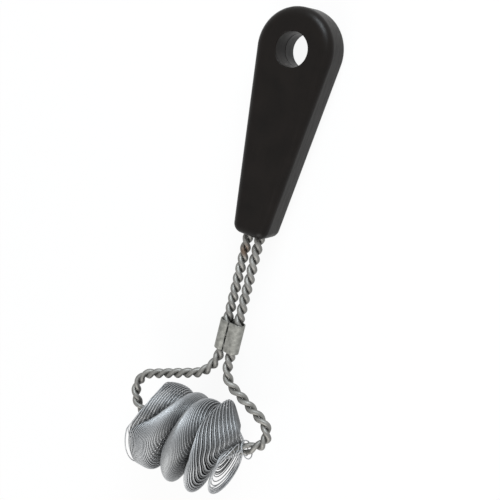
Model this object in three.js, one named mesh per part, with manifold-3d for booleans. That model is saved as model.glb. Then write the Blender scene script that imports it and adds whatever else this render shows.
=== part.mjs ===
// Bristle-free grill brush: a moulded handle, a frame of two heavy wires twisted together,
// a crimped ferrule round its legs, and a fine wire coil pinched in the twist of its head.
// Millimetres. X runs across the head, Y towards the hang hole, Z up from the table.
import * as THREE from 'three';
import { mergeVertices } from 'three/addons/utils/BufferGeometryUtils.js';
import Module from 'manifold-3d';

// Heavy wires
const WIRE_DIAMETER = 2.6;
const WIRE_GAP = 0.35;
const WIRE_SIDES = 6;
const LEG_SPACING = 7.2;
const LEG_TWIST_PITCH = 11;
const HEAD_TWIST_PITCH = 26.6;
const STEPS_PER_LEG_TURN = 8;
const STEPS_PER_HEAD_TURN = 14;
const TWIST_CHANGE_LENGTH = 9;

// Loop of the frame, measured from the axis of its stem
const ARM_ANGLE = THREE.MathUtils.degToRad(24.7);
const LEFT_REACH = 49.1;
const LEFT_CORNER_RADIUS = 12.9;
const LEFT_BEND_RADIUS = 21;
const RIGHT_REACH = 34.9;
const RIGHT_CORNER_RADIUS = 8.7;
const RIGHT_CORNER_HEIGHT = 21.2;
const RIGHT_BEND_RADIUS = 11;
const RETURN_ANGLE = THREE.MathUtils.degToRad(37);
const RETURN_BEND_RADIUS = 15;

// Ferrule
const FERRULE_LENGTH = 16.4;
const FERRULE_WALL = 0.6;
const FERRULE_CLEARANCE = 0.2;
const FERRULE_STANDOFF = 1.25;
const SEAM_WIDTH = 0.5;
const SEAM_OFFSET = -1.3;
const FERRULE_ARC_STEPS = 8;

// Handle
const SHANK_LENGTH = 48.1;
const HANDLE_LENGTH = 113.3;
const HANDLE_THICKNESS = 19;
const HANDLE_END_RADIUS = 20;
const HANDLE_FOOT_WIDTH = 18.6;
const HANDLE_FOOT_RADIUS = 5;
const HANDLE_EDGE_RADIUS = 4.6;
const HANG_HOLE_RADIUS = 8.4;
const SOCKET_DEPTH = 25;
const SOCKET_CLEARANCE = 0.3;
const SMALLEST_RADIUS = 0.3;
const END_ARC_STEPS = 28;
const FOOT_ARC_STEPS = 4;
const EDGE_STEPS = 4;
const HOLE_SIDES = 32;
const SOCKET_SIDES = 16;

// Scrubbing coil
const COIL_WIRE_DIAMETER = 0.45;
const COIL_WIRE_SIDES = 5;
const COIL_CLEARANCE = 0.3;
const COIL_RADIUS = 24.4;
const PETAL_HALF_WIDTH = 10.8;
const PETAL_POWER = 1.5;
const FIRST_RING_PITCH = 1.46;
const LAST_RING_PITCH = 1.53;
const WAIST_HALF_WIDTH = 0.32;
const COIL_INSET = 1;
const MOUTH_DIRECTION = THREE.MathUtils.degToRad(135);
const FAR_PETAL_SHARE = 0.25;
const FAR_TAPER_LENGTH = 20;
const LEFT_LEAN = 0.32;
const LEAN_FADE_LENGTH = 24;
const TAIL_RADIUS = 4.8;
const TAIL_TURNS = 2.5;
const TAIL_PITCH = 2.2;
const TAIL_CLEARANCE = 8;
const LEAST_COIL_GAP = 0.4;

// Angles of the points on one petal, from the waist out round the tip and back
const PETAL_ANGLES = [0, 7, 30, 60, 90, 120, 150, 173].map(THREE.MathUtils.degToRad);

const wireRadius = WIRE_DIAMETER / 2;
const legOffset = (WIRE_DIAMETER + WIRE_GAP) / 2;
const headOffset = wireRadius + COIL_CLEARANCE + COIL_WIRE_DIAMETER / 2 + WAIST_HALF_WIDTH;
const twistRadius = legOffset + wireRadius;
const legX = LEG_SPACING / 2;

const wasm = await Module();
wasm.setup();

const blackPlastic = new THREE.MeshStandardMaterial({ color: 0x1e1e1e, roughness: 0.55, metalness: 0 });
const galvanisedWire = new THREE.MeshStandardMaterial({ color: 0x8c8a86, roughness: 0.42, metalness: 1 });
const galvanisedSheet = new THREE.MeshStandardMaterial({ color: 0x969592, roughness: 0.45, metalness: 1 });
const brightWire = new THREE.MeshStandardMaterial({ color: 0xa9adb2, roughness: 0.3, metalness: 1 });

// A closed mesh from rings of points, each ring with as many points as the next
function loftGeometry(rings) {
  const size = rings[0].length;
  const last = (rings.length - 1) * size;
  const positions = rings.flat().flatMap((p) => [p.x, p.y, p.z]);
  const index = [];
  for (let r = 0; r < rings.length - 1; r += 1) {
    for (let i = 0; i < size; i += 1) {
      const a = r * size + i;
      const b = r * size + ((i + 1) % size);
      index.push(a, b, b + size, a, b + size, a + size);
    }
  }
  for (let i = 1; i < size - 1; i += 1) {
    index.push(0, i + 1, i);
    index.push(last, last + i, last + i + 1);
  }
  const geometry = new THREE.BufferGeometry();
  geometry.setAttribute('position', new THREE.Float32BufferAttribute(positions, 3));
  geometry.setIndex(index);
  geometry.computeVertexNormals();
  return geometry;
}

// A round section about a point, from two directions square to the run
function sectionRing(centre, u, v, radius, sides, turn) {
  return Array.from({ length: sides }, (_, i) => {
    const angle = turn + (2 * Math.PI * i) / sides;
    return centre.clone()
      .addScaledVector(u, radius * Math.cos(angle))
      .addScaledVector(v, radius * Math.sin(angle));
  });
}

// A line through corner points, with an arc of its own radius at each inner corner,
// and the distances along it at which each arc starts and ends
function roundedPath(corners) {
  const path = new THREE.Path();
  const arcStarts = [];
  const arcEnds = [];
  path.moveTo(corners[0].point.x, corners[0].point.y);
  for (let i = 1; i < corners.length - 1; i += 1) {
    const { point, radius } = corners[i];
    const before = point.clone().sub(corners[i - 1].point).normalize();
    const after = corners[i + 1].point.clone().sub(point).normalize();
    const turn = Math.atan2(before.cross(after), before.dot(after));
    const reach = radius * Math.tan(Math.abs(turn) / 2);
    const start = point.clone().addScaledVector(before, -reach);
    const side = Math.sign(turn);
    const centre = new THREE.Vector2(-before.y, before.x).multiplyScalar(side * radius).add(start);
    const first = Math.atan2(start.y - centre.y, start.x - centre.x);
    path.lineTo(start.x, start.y);
    arcStarts.push(path.getLength());
    path.absarc(centre.x, centre.y, radius, first, first + turn, turn < 0);
    arcEnds.push(path.getLength());
  }
  const end = corners[corners.length - 1].point;
  path.lineTo(end.x, end.y);
  return { path, arcStarts, arcEnds };
}

// Where the lines of the frame's legs, arms and stem would meet if its bends were sharp
function frameCorners() {
  const slope = Math.tan(ARM_ANGLE);
  const leftCentre = new THREE.Vector2(LEFT_CORNER_RADIUS - LEFT_REACH, LEFT_CORNER_RADIUS);
  const leftTouch = new THREE.Vector2(
    leftCentre.x - LEFT_CORNER_RADIUS * Math.sin(ARM_ANGLE),
    leftCentre.y + LEFT_CORNER_RADIUS * Math.cos(ARM_ANGLE),
  );
  const leftBend = new THREE.Vector2(-legX, leftTouch.y + slope * (-legX - leftTouch.x));
  const leftCorner = new THREE.Vector2(-legX - leftBend.y / slope, 0);

  const rightCentre = new THREE.Vector2(RIGHT_REACH - RIGHT_CORNER_RADIUS, RIGHT_CORNER_HEIGHT);
  const rightTouch = new THREE.Vector2(
    rightCentre.x + RIGHT_CORNER_RADIUS * Math.sin(ARM_ANGLE),
    rightCentre.y + RIGHT_CORNER_RADIUS * Math.cos(ARM_ANGLE),
  );
  const rightBend = new THREE.Vector2(legX, rightTouch.y + slope * (rightTouch.x - legX));
  const returnTouch = new THREE.Vector2(
    rightCentre.x + RIGHT_CORNER_RADIUS * Math.sin(RETURN_ANGLE),
    rightCentre.y - RIGHT_CORNER_RADIUS * Math.cos(RETURN_ANGLE),
  );
  const returnSlope = Math.tan(RETURN_ANGLE);
  const stemEnd = new THREE.Vector2(returnTouch.x - returnTouch.y / returnSlope, 0);
  const rightCornerX = (rightBend.y + slope * legX + returnSlope * stemEnd.x) / (returnSlope + slope);
  const rightCorner = new THREE.Vector2(rightCornerX, returnSlope * (rightCornerX - stemEnd.x));

  return { leftBend, leftCorner, stemEnd, rightCorner, rightBend };
}

const corners = frameCorners();
const bendReach = Math.tan((Math.PI / 2 - ARM_ANGLE) / 2);
const bendTop = Math.max(
  corners.leftBend.y + LEFT_BEND_RADIUS * bendReach,
  corners.rightBend.y + RIGHT_BEND_RADIUS * bendReach,
);
const ferruleStart = bendTop + FERRULE_STANDOFF;
const handleStart = ferruleStart + FERRULE_LENGTH + SHANK_LENGTH;
const legTop = handleStart + SOCKET_DEPTH;

// Centre line of the twisted pair: down the left leg, round the head, up the right leg
function frameCentreLine() {
  const { path, arcStarts, arcEnds } = roundedPath([
    { point: new THREE.Vector2(-legX, legTop) },
    { point: corners.leftBend, radius: LEFT_BEND_RADIUS },
    { point: corners.leftCorner, radius: LEFT_CORNER_RADIUS },
    { point: corners.stemEnd, radius: RETURN_BEND_RADIUS },
    { point: corners.rightCorner, radius: RIGHT_CORNER_RADIUS },
    { point: corners.rightBend, radius: RIGHT_BEND_RADIUS },
    { point: new THREE.Vector2(legX, legTop) },
  ]);
  // The stem runs from the end of the left corner, the second arc, to the start of the right one, the fourth
  return { path, length: path.getLength(), stemStart: arcEnds[1], stemStop: arcStarts[3] };
}

// The coil fills the stem, but for its inset and its tail
const centreLine = frameCentreLine();
const tailLength = LAST_RING_PITCH / 2 + TAIL_TURNS * TAIL_PITCH;
const coilStart = centreLine.stemStart + COIL_INSET;
const coilEnd = centreLine.stemStop - TAIL_CLEARANCE - tailLength;
const meanRingPitch = (FIRST_RING_PITCH + LAST_RING_PITCH) / 2;
const ringCount = Math.round((coilEnd - coilStart) / meanRingPitch);
const ringStretch = (coilEnd - coilStart) / (ringCount * meanRingPitch);

// Place and directions on the centre line, at a distance along it
function stationAt(distance) {
  const t = distance / centreLine.length;
  const point = centreLine.path.getPoint(t);
  const tangent = centreLine.path.getTangent(t);
  return {
    point: new THREE.Vector3(point.x, point.y, 0),
    along: new THREE.Vector3(tangent.x, tangent.y, 0),
    across: new THREE.Vector3(-tangent.y, tangent.x, 0),
    up: new THREE.Vector3(0, 0, 1),
  };
}

// Share of the head's looser twist at a distance along the centre line
function headShare(distance) {
  const rise = THREE.MathUtils.smoothstep(distance, coilStart - TWIST_CHANGE_LENGTH, coilStart);
  const fall = THREE.MathUtils.smoothstep(distance, coilEnd, coilEnd + TWIST_CHANGE_LENGTH);
  return rise * (1 - fall);
}

// Left-handed twist: turns added along the centre line, with the petals' direction set at the coil's end
function twistTable() {
  const distances = [];
  const turns = [];
  let distance = 0;
  let turn = 0;
  while (distance < centreLine.length) {
    distances.push(distance);
    turns.push(turn);
    const share = headShare(distance);
    const pitch = THREE.MathUtils.lerp(LEG_TWIST_PITCH, HEAD_TWIST_PITCH, share);
    const steps = THREE.MathUtils.lerp(STEPS_PER_LEG_TURN, STEPS_PER_HEAD_TURN, share);
    distance += pitch / steps;
    turn -= 1 / steps;
  }
  const overshoot = (distance - centreLine.length) / (distance - distances[distances.length - 1]);
  distances.push(centreLine.length);
  turns.push(THREE.MathUtils.lerp(turn, turns[turns.length - 1], overshoot));
  return { distances, turns };
}

const twist = twistTable();

function turnsAt(distance) {
  let i = 1;
  while (i < twist.distances.length - 1 && twist.distances[i] < distance) {
    i += 1;
  }
  const share = (distance - twist.distances[i - 1]) / (twist.distances[i] - twist.distances[i - 1]);
  return THREE.MathUtils.lerp(twist.turns[i - 1], twist.turns[i], share);
}

// Direction of a petal, square to the line that joins the two wires
const turnsAtCoilEnd = turnsAt(coilEnd);

function petalAngle(distance) {
  return MOUTH_DIRECTION + 2 * Math.PI * (turnsAt(distance) - turnsAtCoilEnd);
}

function directionAt(station, angle) {
  return station.across.clone().multiplyScalar(Math.cos(angle))
    .addScaledVector(station.up, Math.sin(angle));
}

// One heavy wire of the pair, on one side of the centre line
function frameWireGeometry(side) {
  const centres = [];
  const outwards = [];
  for (const distance of twist.distances) {
    const station = stationAt(distance);
    const offset = THREE.MathUtils.lerp(legOffset, headOffset, headShare(distance));
    const outward = directionAt(station, petalAngle(distance) + (side * Math.PI) / 2);
    centres.push(station.point.clone().addScaledVector(outward, offset));
    outwards.push(outward);
  }
  const flatTurn = Math.PI / WIRE_SIDES;
  const rings = centres.map((centre, i) => {
    const before = centres[Math.max(i - 1, 0)];
    const after = centres[Math.min(i + 1, centres.length - 1)];
    const run = after.clone().sub(before).normalize();
    const u = outwards[i].clone().addScaledVector(run, -outwards[i].dot(run)).normalize();
    const v = run.clone().cross(u);
    return sectionRing(centre, u, v, wireRadius, WIRE_SIDES, flatTurn);
  });
  return loftGeometry(rings);
}

// Half width of a petal at an angle round it, so that its widest place is the named half width
const widestShare = Math.sqrt(PETAL_POWER / (PETAL_POWER + 1));
const petalWidth = PETAL_HALF_WIDTH / (widestShare ** PETAL_POWER * Math.sqrt(1 - widestShare ** 2));

// Highest place of the coil wire under an arm of the frame
function armUnderside(x) {
  const bendY = x < 0 ? corners.leftBend.y : corners.rightBend.y;
  const armY = bendY - Math.tan(ARM_ANGLE) * (Math.abs(x) - legX);
  const room = twistRadius + COIL_CLEARANCE + COIL_WIRE_DIAMETER / 2;
  return armY - room / Math.cos(ARM_ANGLE);
}

// A point of the coil wire at a distance along the stem, out along and across its petal
function coilPoint(distance, out, aside) {
  const station = stationAt(distance);
  const angle = petalAngle(distance);
  const height = out * Math.cos(angle) - aside * Math.sin(angle);
  const depth = out * Math.sin(angle) + aside * Math.cos(angle);
  // The petals stand upright where the stem climbs, and lean over at the left end
  const reach = Math.hypot(out, aside) / COIL_RADIUS;
  const upright = station.across.clone().lerp(new THREE.Vector3(0, 1, 0), reach).normalize();
  const lean = LEFT_LEAN * Math.exp((coilStart - distance) / LEAN_FADE_LENGTH);
  const point = station.point.clone()
    .addScaledVector(upright, height)
    .addScaledVector(station.up, depth)
    .addScaledVector(station.along, lean * height * reach);
  point.y = Math.min(point.y, armUnderside(point.x));
  return point;
}

// The petals that face the right arm from behind shrink towards the coil's end
function farPetalSize(distance) {
  const near = THREE.MathUtils.smoothstep(distance, coilEnd - FAR_TAPER_LENGTH, coilEnd);
  return THREE.MathUtils.lerp(1, FAR_PETAL_SHARE, near);
}

function coilRoute() {
  const points = [];
  const petalCount = ringCount * 2;
  const growth = (LAST_RING_PITCH - FIRST_RING_PITCH) / ringCount;
  for (let petal = 0; petal < petalCount; petal += 1) {
    for (const angle of PETAL_ANGLES) {
      const ring = (petal + angle / Math.PI) / 2;
      const travel = FIRST_RING_PITCH * ring + (growth * ring * ring) / 2;
      const distance = coilStart + ringStretch * travel;
      const side = (petalCount - petal) % 2 === 0 ? -1 : 1;
      const size = side > 0 ? 1 : farPetalSize(distance);
      const reach = Math.sin(angle);
      const halfWidth = WAIST_HALF_WIDTH + size * petalWidth * reach ** PETAL_POWER;
      const aside = -side * Math.cos(angle) * halfWidth;
      points.push(coilPoint(distance, side * size * COIL_RADIUS * reach, aside));
    }
  }
  // Loose tail: out of the twist, then round the pair
  const tailSteps = Math.round(TAIL_TURNS * PETAL_ANGLES.length);
  points.push(coilPoint(coilEnd, 0, WAIST_HALF_WIDTH));
  points.push(coilPoint(coilEnd, -TAIL_RADIUS / 2, 0));
  const tailStart = coilEnd + LAST_RING_PITCH / 2;
  for (let step = 0; step <= tailSteps; step += 1) {
    const turn = step / PETAL_ANGLES.length;
    const angle = 2 * Math.PI * turn;
    const distance = tailStart + TAIL_PITCH * turn;
    points.push(coilPoint(distance, -TAIL_RADIUS * Math.cos(angle), -TAIL_RADIUS * Math.sin(angle)));
  }
  return points;
}

// Least distance between two stretches of the route that aren't next to each other, less the wire
function leastGap(points) {
  const samples = [];
  const samplesPerStep = 6;
  for (let i = 0; i < points.length - 1; i += 1) {
    for (let k = 0; k < samplesPerStep; k += 1) {
      samples.push(points[i].clone().lerp(points[i + 1], k / samplesPerStep));
    }
  }
  const runs = [0];
  for (let i = 1; i < samples.length; i += 1) {
    runs.push(runs[i - 1] + samples[i].distanceTo(samples[i - 1]));
  }
  const apart = COIL_RADIUS / 2;
  let least = Infinity;
  for (let i = 0; i < samples.length; i += 1) {
    for (let j = i + 1; j < samples.length; j += 1) {
      if (runs[j] - runs[i] > apart) {
        least = Math.min(least, samples[i].distanceTo(samples[j]));
      }
    }
  }
  return least - COIL_WIRE_DIAMETER;
}

// The coil as one unbroken tube along its route
function coilGeometry() {
  const points = coilRoute();
  const gap = leastGap(points);
  console.log(`coil: least gap to itself ${gap.toFixed(2)} mm, asked over ${LEAST_COIL_GAP} mm`);
  let u = new THREE.Vector3(0, 0, 1);
  const rings = points.map((centre, i) => {
    const before = points[Math.max(i - 1, 0)];
    const after = points[Math.min(i + 1, points.length - 1)];
    const run = after.clone().sub(before).normalize();
    u = u.clone().addScaledVector(run, -u.dot(run)).normalize();
    const v = run.clone().cross(u);
    return sectionRing(centre, u, v, COIL_WIRE_DIAMETER / 2, COIL_WIRE_SIDES, 0);
  });
  return loftGeometry(rings);
}

// The handle's outline, drawn in by an inset, as points counter-clockwise from the right foot corner
function handleOutline(inset) {
  const endCentre = handleStart + HANDLE_LENGTH - HANDLE_END_RADIUS;
  const footHalf = HANDLE_FOOT_WIDTH / 2;
  const rise = endCentre - handleStart;
  // The side line leaves the foot's corner and touches the end circle
  const toCentre = Math.atan2(rise, -footHalf);
  const lean = toCentre - Math.asin(HANDLE_END_RADIUS / Math.hypot(rise, footHalf));
  const normal = new THREE.Vector2(Math.sin(lean), -Math.cos(lean));
  const footY = handleStart + inset;
  const radius = Math.max(HANDLE_FOOT_RADIUS - inset, SMALLEST_RADIUS);
  const sideOffset = normal.x * footHalf + normal.y * handleStart - inset;
  const cornerY = footY + radius;
  const cornerX = (sideOffset - radius - normal.y * cornerY) / normal.x;
  const normalAngle = Math.atan2(normal.y, normal.x);
  const points = [];
  for (let i = 0; i <= FOOT_ARC_STEPS; i += 1) {
    const angle = THREE.MathUtils.lerp(-Math.PI / 2, normalAngle, i / FOOT_ARC_STEPS);
    points.push([cornerX + radius * Math.cos(angle), cornerY + radius * Math.sin(angle)]);
  }
  for (let i = 0; i <= END_ARC_STEPS; i += 1) {
    const angle = THREE.MathUtils.lerp(normalAngle, Math.PI - normalAngle, i / END_ARC_STEPS);
    const reach = HANDLE_END_RADIUS - inset;
    points.push([reach * Math.cos(angle), endCentre + reach * Math.sin(angle)]);
  }
  for (let i = 0; i <= FOOT_ARC_STEPS; i += 1) {
    const angle = THREE.MathUtils.lerp(Math.PI - normalAngle, 1.5 * Math.PI, i / FOOT_ARC_STEPS);
    points.push([-cornerX + radius * Math.cos(angle), cornerY + radius * Math.sin(angle)]);
  }
  return points;
}

function solidOf(geometry) {
  const bare = geometry.clone();
  bare.deleteAttribute('normal');
  bare.deleteAttribute('uv');
  const merged = mergeVertices(bare);
  return new wasm.Manifold(new wasm.Mesh({
    numProp: 3,
    vertProperties: Float32Array.from(merged.attributes.position.array),
    triVerts: Uint32Array.from(merged.index.array),
  }));
}

function geometryOf(solid) {
  const mesh = solid.getMesh();
  const geometry = new THREE.BufferGeometry();
  geometry.setAttribute('position', new THREE.Float32BufferAttribute(mesh.vertProperties, 3));
  geometry.setIndex(Array.from(mesh.triVerts));
  geometry.computeVertexNormals();
  return geometry;
}

// The handle: a tapered body with rounded edges, a hang hole and a socket for each leg
function handleGeometry() {
  const rings = [];
  const addRing = (inset, z) => {
    rings.push(handleOutline(inset).map(([x, y]) => new THREE.Vector3(x, y, z)));
  };
  const half = HANDLE_THICKNESS / 2;
  for (let i = 0; i <= EDGE_STEPS; i += 1) {
    const angle = (Math.PI / 2) * (i / EDGE_STEPS);
    const inset = HANDLE_EDGE_RADIUS * (1 - Math.sin(angle));
    addRing(inset, -half + HANDLE_EDGE_RADIUS * (1 - Math.cos(angle)));
  }
  for (let i = 0; i <= EDGE_STEPS; i += 1) {
    const angle = (Math.PI / 2) * (1 - i / EDGE_STEPS);
    const inset = HANDLE_EDGE_RADIUS * (1 - Math.sin(angle));
    addRing(inset, half - HANDLE_EDGE_RADIUS * (1 - Math.cos(angle)));
  }
  let body = solidOf(loftGeometry(rings));

  const hole = new THREE.CylinderGeometry(
    HANG_HOLE_RADIUS,
    HANG_HOLE_RADIUS,
    2 * HANDLE_THICKNESS,
    HOLE_SIDES,
  );
  hole.rotateX(Math.PI / 2);
  hole.translate(0, handleStart + HANDLE_LENGTH - HANDLE_END_RADIUS, 0);
  body = body.subtract(solidOf(hole));

  const socketRadius = twistRadius + SOCKET_CLEARANCE;
  for (const side of [-1, 1]) {
    const depth = SOCKET_DEPTH + wireRadius;
    const socket = new THREE.CylinderGeometry(socketRadius, socketRadius, 2 * depth, SOCKET_SIDES);
    socket.translate(side * legX, handleStart, 0);
    body = body.subtract(solidOf(socket));
  }
  return geometryOf(body);
}

// The ferrule: an oval band of sheet round both legs, open at its butt seam
function ferruleGeometry() {
  const inner = twistRadius + FERRULE_CLEARANCE;
  const outer = inner + FERRULE_WALL;
  const seamRight = SEAM_OFFSET + SEAM_WIDTH / 2;
  const seamLeft = SEAM_OFFSET - SEAM_WIDTH / 2;
  const shape = new THREE.Shape();
  shape.moveTo(seamLeft, outer);
  shape.lineTo(-legX, outer);
  shape.absarc(-legX, 0, outer, Math.PI / 2, 1.5 * Math.PI, false);
  shape.lineTo(legX, -outer);
  shape.absarc(legX, 0, outer, -Math.PI / 2, Math.PI / 2, false);
  shape.lineTo(seamRight, outer);
  shape.lineTo(seamRight, inner);
  shape.lineTo(legX, inner);
  shape.absarc(legX, 0, inner, Math.PI / 2, -Math.PI / 2, true);
  shape.lineTo(-legX, -inner);
  shape.absarc(-legX, 0, inner, 1.5 * Math.PI, Math.PI / 2, true);
  shape.lineTo(seamLeft, inner);
  shape.closePath();
  const geometry = new THREE.ExtrudeGeometry(shape, {
    depth: FERRULE_LENGTH,
    bevelEnabled: false,
    curveSegments: FERRULE_ARC_STEPS,
  });
  // The sheet's section is drawn across the brush, so its length runs from the top edge down
  geometry.rotateX(Math.PI / 2);
  geometry.translate(0, ferruleStart + FERRULE_LENGTH, 0);
  return geometry;
}

function namedMesh(name, geometry, material) {
  const mesh = new THREE.Mesh(geometry, material);
  mesh.name = name;
  return mesh;
}

const brush = new THREE.Group();
brush.add(namedMesh('handle', handleGeometry(), blackPlastic));
brush.add(namedMesh('frame_wire_a', frameWireGeometry(1), galvanisedWire));
brush.add(namedMesh('frame_wire_b', frameWireGeometry(-1), galvanisedWire));
brush.add(namedMesh('ferrule', ferruleGeometry(), galvanisedSheet));
brush.add(namedMesh('scrub_coil', coilGeometry(), brightWire));

// The brush lies on its back: the coil and the rounded back edge of the handle's end share the table
const coilDrop = COIL_RADIUS + COIL_WIRE_DIAMETER / 2 - HANDLE_EDGE_RADIUS;
const edgeY = handleStart + HANDLE_LENGTH - HANDLE_EDGE_RADIUS;
const edgeZ = HANDLE_THICKNESS / 2 - HANDLE_EDGE_RADIUS;
const lieAngle = Math.asin(coilDrop / Math.hypot(edgeY, edgeZ)) - Math.atan2(edgeZ, edgeY);
brush.rotation.x = -lieAngle;

// The origin is under the middle of the brush, on the table
const part = new THREE.Group();
part.add(brush);
const box = new THREE.Box3().setFromObject(part, true);
brush.position.set(
  -(box.min.x + box.max.x) / 2,
  -(box.min.y + box.max.y) / 2,
  -box.min.z,
);

export default part;
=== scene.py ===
import math

import bpy
import numpy as np
from bpy.props import FloatProperty, FloatVectorProperty, PointerProperty
from mathutils import Matrix, Vector


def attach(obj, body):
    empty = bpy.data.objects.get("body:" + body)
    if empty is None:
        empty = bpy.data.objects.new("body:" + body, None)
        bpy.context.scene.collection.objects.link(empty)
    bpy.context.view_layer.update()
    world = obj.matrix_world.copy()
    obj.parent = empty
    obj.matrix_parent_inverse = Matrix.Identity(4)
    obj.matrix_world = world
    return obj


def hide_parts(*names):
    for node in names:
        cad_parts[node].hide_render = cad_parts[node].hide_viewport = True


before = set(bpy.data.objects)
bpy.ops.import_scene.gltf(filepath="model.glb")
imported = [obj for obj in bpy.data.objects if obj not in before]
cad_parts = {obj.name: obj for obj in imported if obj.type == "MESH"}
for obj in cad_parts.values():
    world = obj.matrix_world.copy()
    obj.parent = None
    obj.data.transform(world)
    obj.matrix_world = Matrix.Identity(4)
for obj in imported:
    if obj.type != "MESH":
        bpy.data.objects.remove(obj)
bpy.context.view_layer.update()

bl_info = {
    "name": "Grill Brush",
    "version": (1, 0, 0),
    "blender": (4, 5, 0),
    "location": "3D View > Sidebar > Grill Brush",
    "description": "A bristle-free grill brush: handle, twisted wire frame, ferrule and scrubbing coil",
    "category": "Add Mesh",
}

BODY = "root"
MM = 0.001
UP = np.array([0, 0, 1])
WHITE = (1, 1, 1, 1)

# How finely the wires are drawn
BEND_STEPS = 48
TWIST_STEPS = 6000
WIRE_STEP = 0.35 * MM
WIRE_SIDES = 18
PITCH_STEPS = 2000
RING_STEPS = 96
CURL_STEPS = 120
COIL_SIDES = 7

# How finely the handle and the ferrule are drawn
FOOT_STEPS = 12
END_STEPS = 96
EDGE_STEPS = 12
RIM_STEPS = 6
HOLE_SIDES = 96
SOCKET_SIDES = 40
BAND_STEPS = 12
BAND_BEND_STEPS = 24
BAND_FLAT_STEPS = 8
BAND_FRONT_STEPS = 10
BEVEL_SEGMENTS = 3

# Smallest radius of an outline's corner
LEAST_RADIUS = 0.3 * MM
# How far the cutters stand out of the handle, and how much the hang hole's cutter widens there
CUT_BEYOND = 2 * MM
CUT_FLARE = 1 * MM
# Edges that turn more than this aren't shaded as round ones
HANDLE_SHARP_ANGLE = math.radians(32)
SHARP_ANGLE = math.radians(50)

# Values along the coil are given at this many even places
PLACES = 5
# One ring of this many lies outside, and the others lie deeper and get painted shade
LAYERS = 3
# Keeps whole numbers of rings from falling short
ROUNDING = 1e-9
# Share of a petal's length at which a flat end stands clear of it
CLEAR_OF_PETAL = 1.2
# A direction that no wire starts along
SKEW = (0.3, 0.5, 0.8)
# Numbers of the mix node's factor, its two colours and its mixed colour
MIX_INPUTS = (0, 6, 7)
MIX_OUTPUT = 2


def millimetres(name, text, value):
    return FloatProperty(name=name, description=text, default=value * MM, unit="LENGTH", precision=5)


def degrees(name, text, value):
    return FloatProperty(name=name, description=text, default=math.radians(value), subtype="ANGLE")


def number(name, text, value):
    return FloatProperty(name=name, description=text, default=value)


def watts(name, text, value):
    return FloatProperty(name=name, description=text, default=value, unit="POWER")


def five(name, text, *values, unit="NONE"):
    text += ", at five even places"
    return FloatVectorProperty(name=name, description=text, default=values, size=PLACES, unit=unit)


def five_lengths(name, text, *values):
    return five(name, text, *(value * MM for value in values), unit="LENGTH")


def colour(name, text, value):
    return FloatVectorProperty(name=name, description=text, default=value, min=0, max=1, subtype="COLOR")


def position(name, text, value):
    return FloatVectorProperty(name=name, description=text, default=value, subtype="XYZ", unit="LENGTH")


def direction(name, text, value):
    return FloatVectorProperty(name=name, description=text, default=value, subtype="DIRECTION")


class HandleSettings(bpy.types.PropertyGroup):
    length: millimetres("Length", "From the flat foot to the round end", 113.3)
    thickness: millimetres("Thickness", "From the front face to the back face", 19)
    end_radius: millimetres("End radius", "Radius of the round end", 20)
    foot_width: millimetres("Foot width", "Width across the foot", 18.6)
    foot_radius: millimetres("Foot radius", "Radius of the foot's corners", 5)
    edge_radius: millimetres("Edge radius", "Rounding of the long edges", 4.6)
    hole_radius: millimetres("Hole radius", "Radius of the hang hole at its faces", 8.4)
    hole_draft: millimetres("Hole draft", "How much the hang hole narrows to its middle", 0.35)
    rim_radius: millimetres("Rim radius", "Rounding of the hang hole's rim", 0.5)
    groove: millimetres("Groove", "Size of the mould's line in the hang hole", 0.16)
    socket_depth: millimetres("Socket depth", "How deep the legs stand in the foot", 25)
    socket_room: millimetres("Socket room", "Space over the ends of the legs", 1.4)
    socket_clearance: millimetres("Socket clearance", "Space round the legs", 0.12)
    plastic: colour("Plastic", "Colour of the moulded plastic", (0.0052, 0.0039, 0.0032))


class WireSettings(bpy.types.PropertyGroup):
    diameter: millimetres("Diameter", "Thickness of one heavy wire", 2.7)
    gap: millimetres("Gap", "Space between the two wires of the pair", 0.1)
    leg_spacing: millimetres("Leg spacing", "Distance between the two legs", 6.6)
    leg_pitch: millimetres("Leg pitch", "Length of one turn of the twist in the legs", 11)
    arm_pitch: millimetres("Arm pitch", "Length of one turn of the twist in the arms", 13)
    change_length: millimetres("Change length", "Length in which the twist slackens", 9)
    arm_angle: degrees("Arm angle", "Slope of the arms", 24.7)
    left_reach: millimetres("Left reach", "From the middle to the left corner", 49.1)
    left_corner: millimetres("Left corner", "Radius of the left corner", 12.9)
    left_bend: millimetres("Left bend", "Radius of the bend from arm to leg on the left", 21)
    right_reach: millimetres("Right reach", "From the middle to the right corner", 34.9)
    right_corner: millimetres("Right corner", "Radius of the right corner", 8.7)
    right_height: millimetres("Right height", "Height of the right corner's middle over the stem", 21.2)
    right_bend: millimetres("Right bend", "Radius of the bend from arm to leg on the right", 11)
    return_angle: degrees("Return angle", "Slope of the stem's right end", 37)
    return_bend: millimetres("Return bend", "Radius of the bend at the stem's right end", 15)
    shank_length: millimetres("Shank length", "Bare legs between ferrule and handle", 48.1)
    zinc: colour("Zinc", "Colour of the galvanised wire", (0.235, 0.232, 0.22))
    rust: colour("Rust", "Colour of the rusty spot", (0.115, 0.068, 0.04))
    rust_share: number("Rust share", "How much rust covers the middle of the rusty spot", 0.75)
    rust_core: millimetres("Rust core", "Reach of the rusty spot's middle", 1.5)
    rust_size: millimetres("Rust size", "Reach of the rusty spot", 4.5)
    rust_drop: millimetres("Rust drop", "From the handle down the left leg to the rusty spot", 9)


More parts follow.
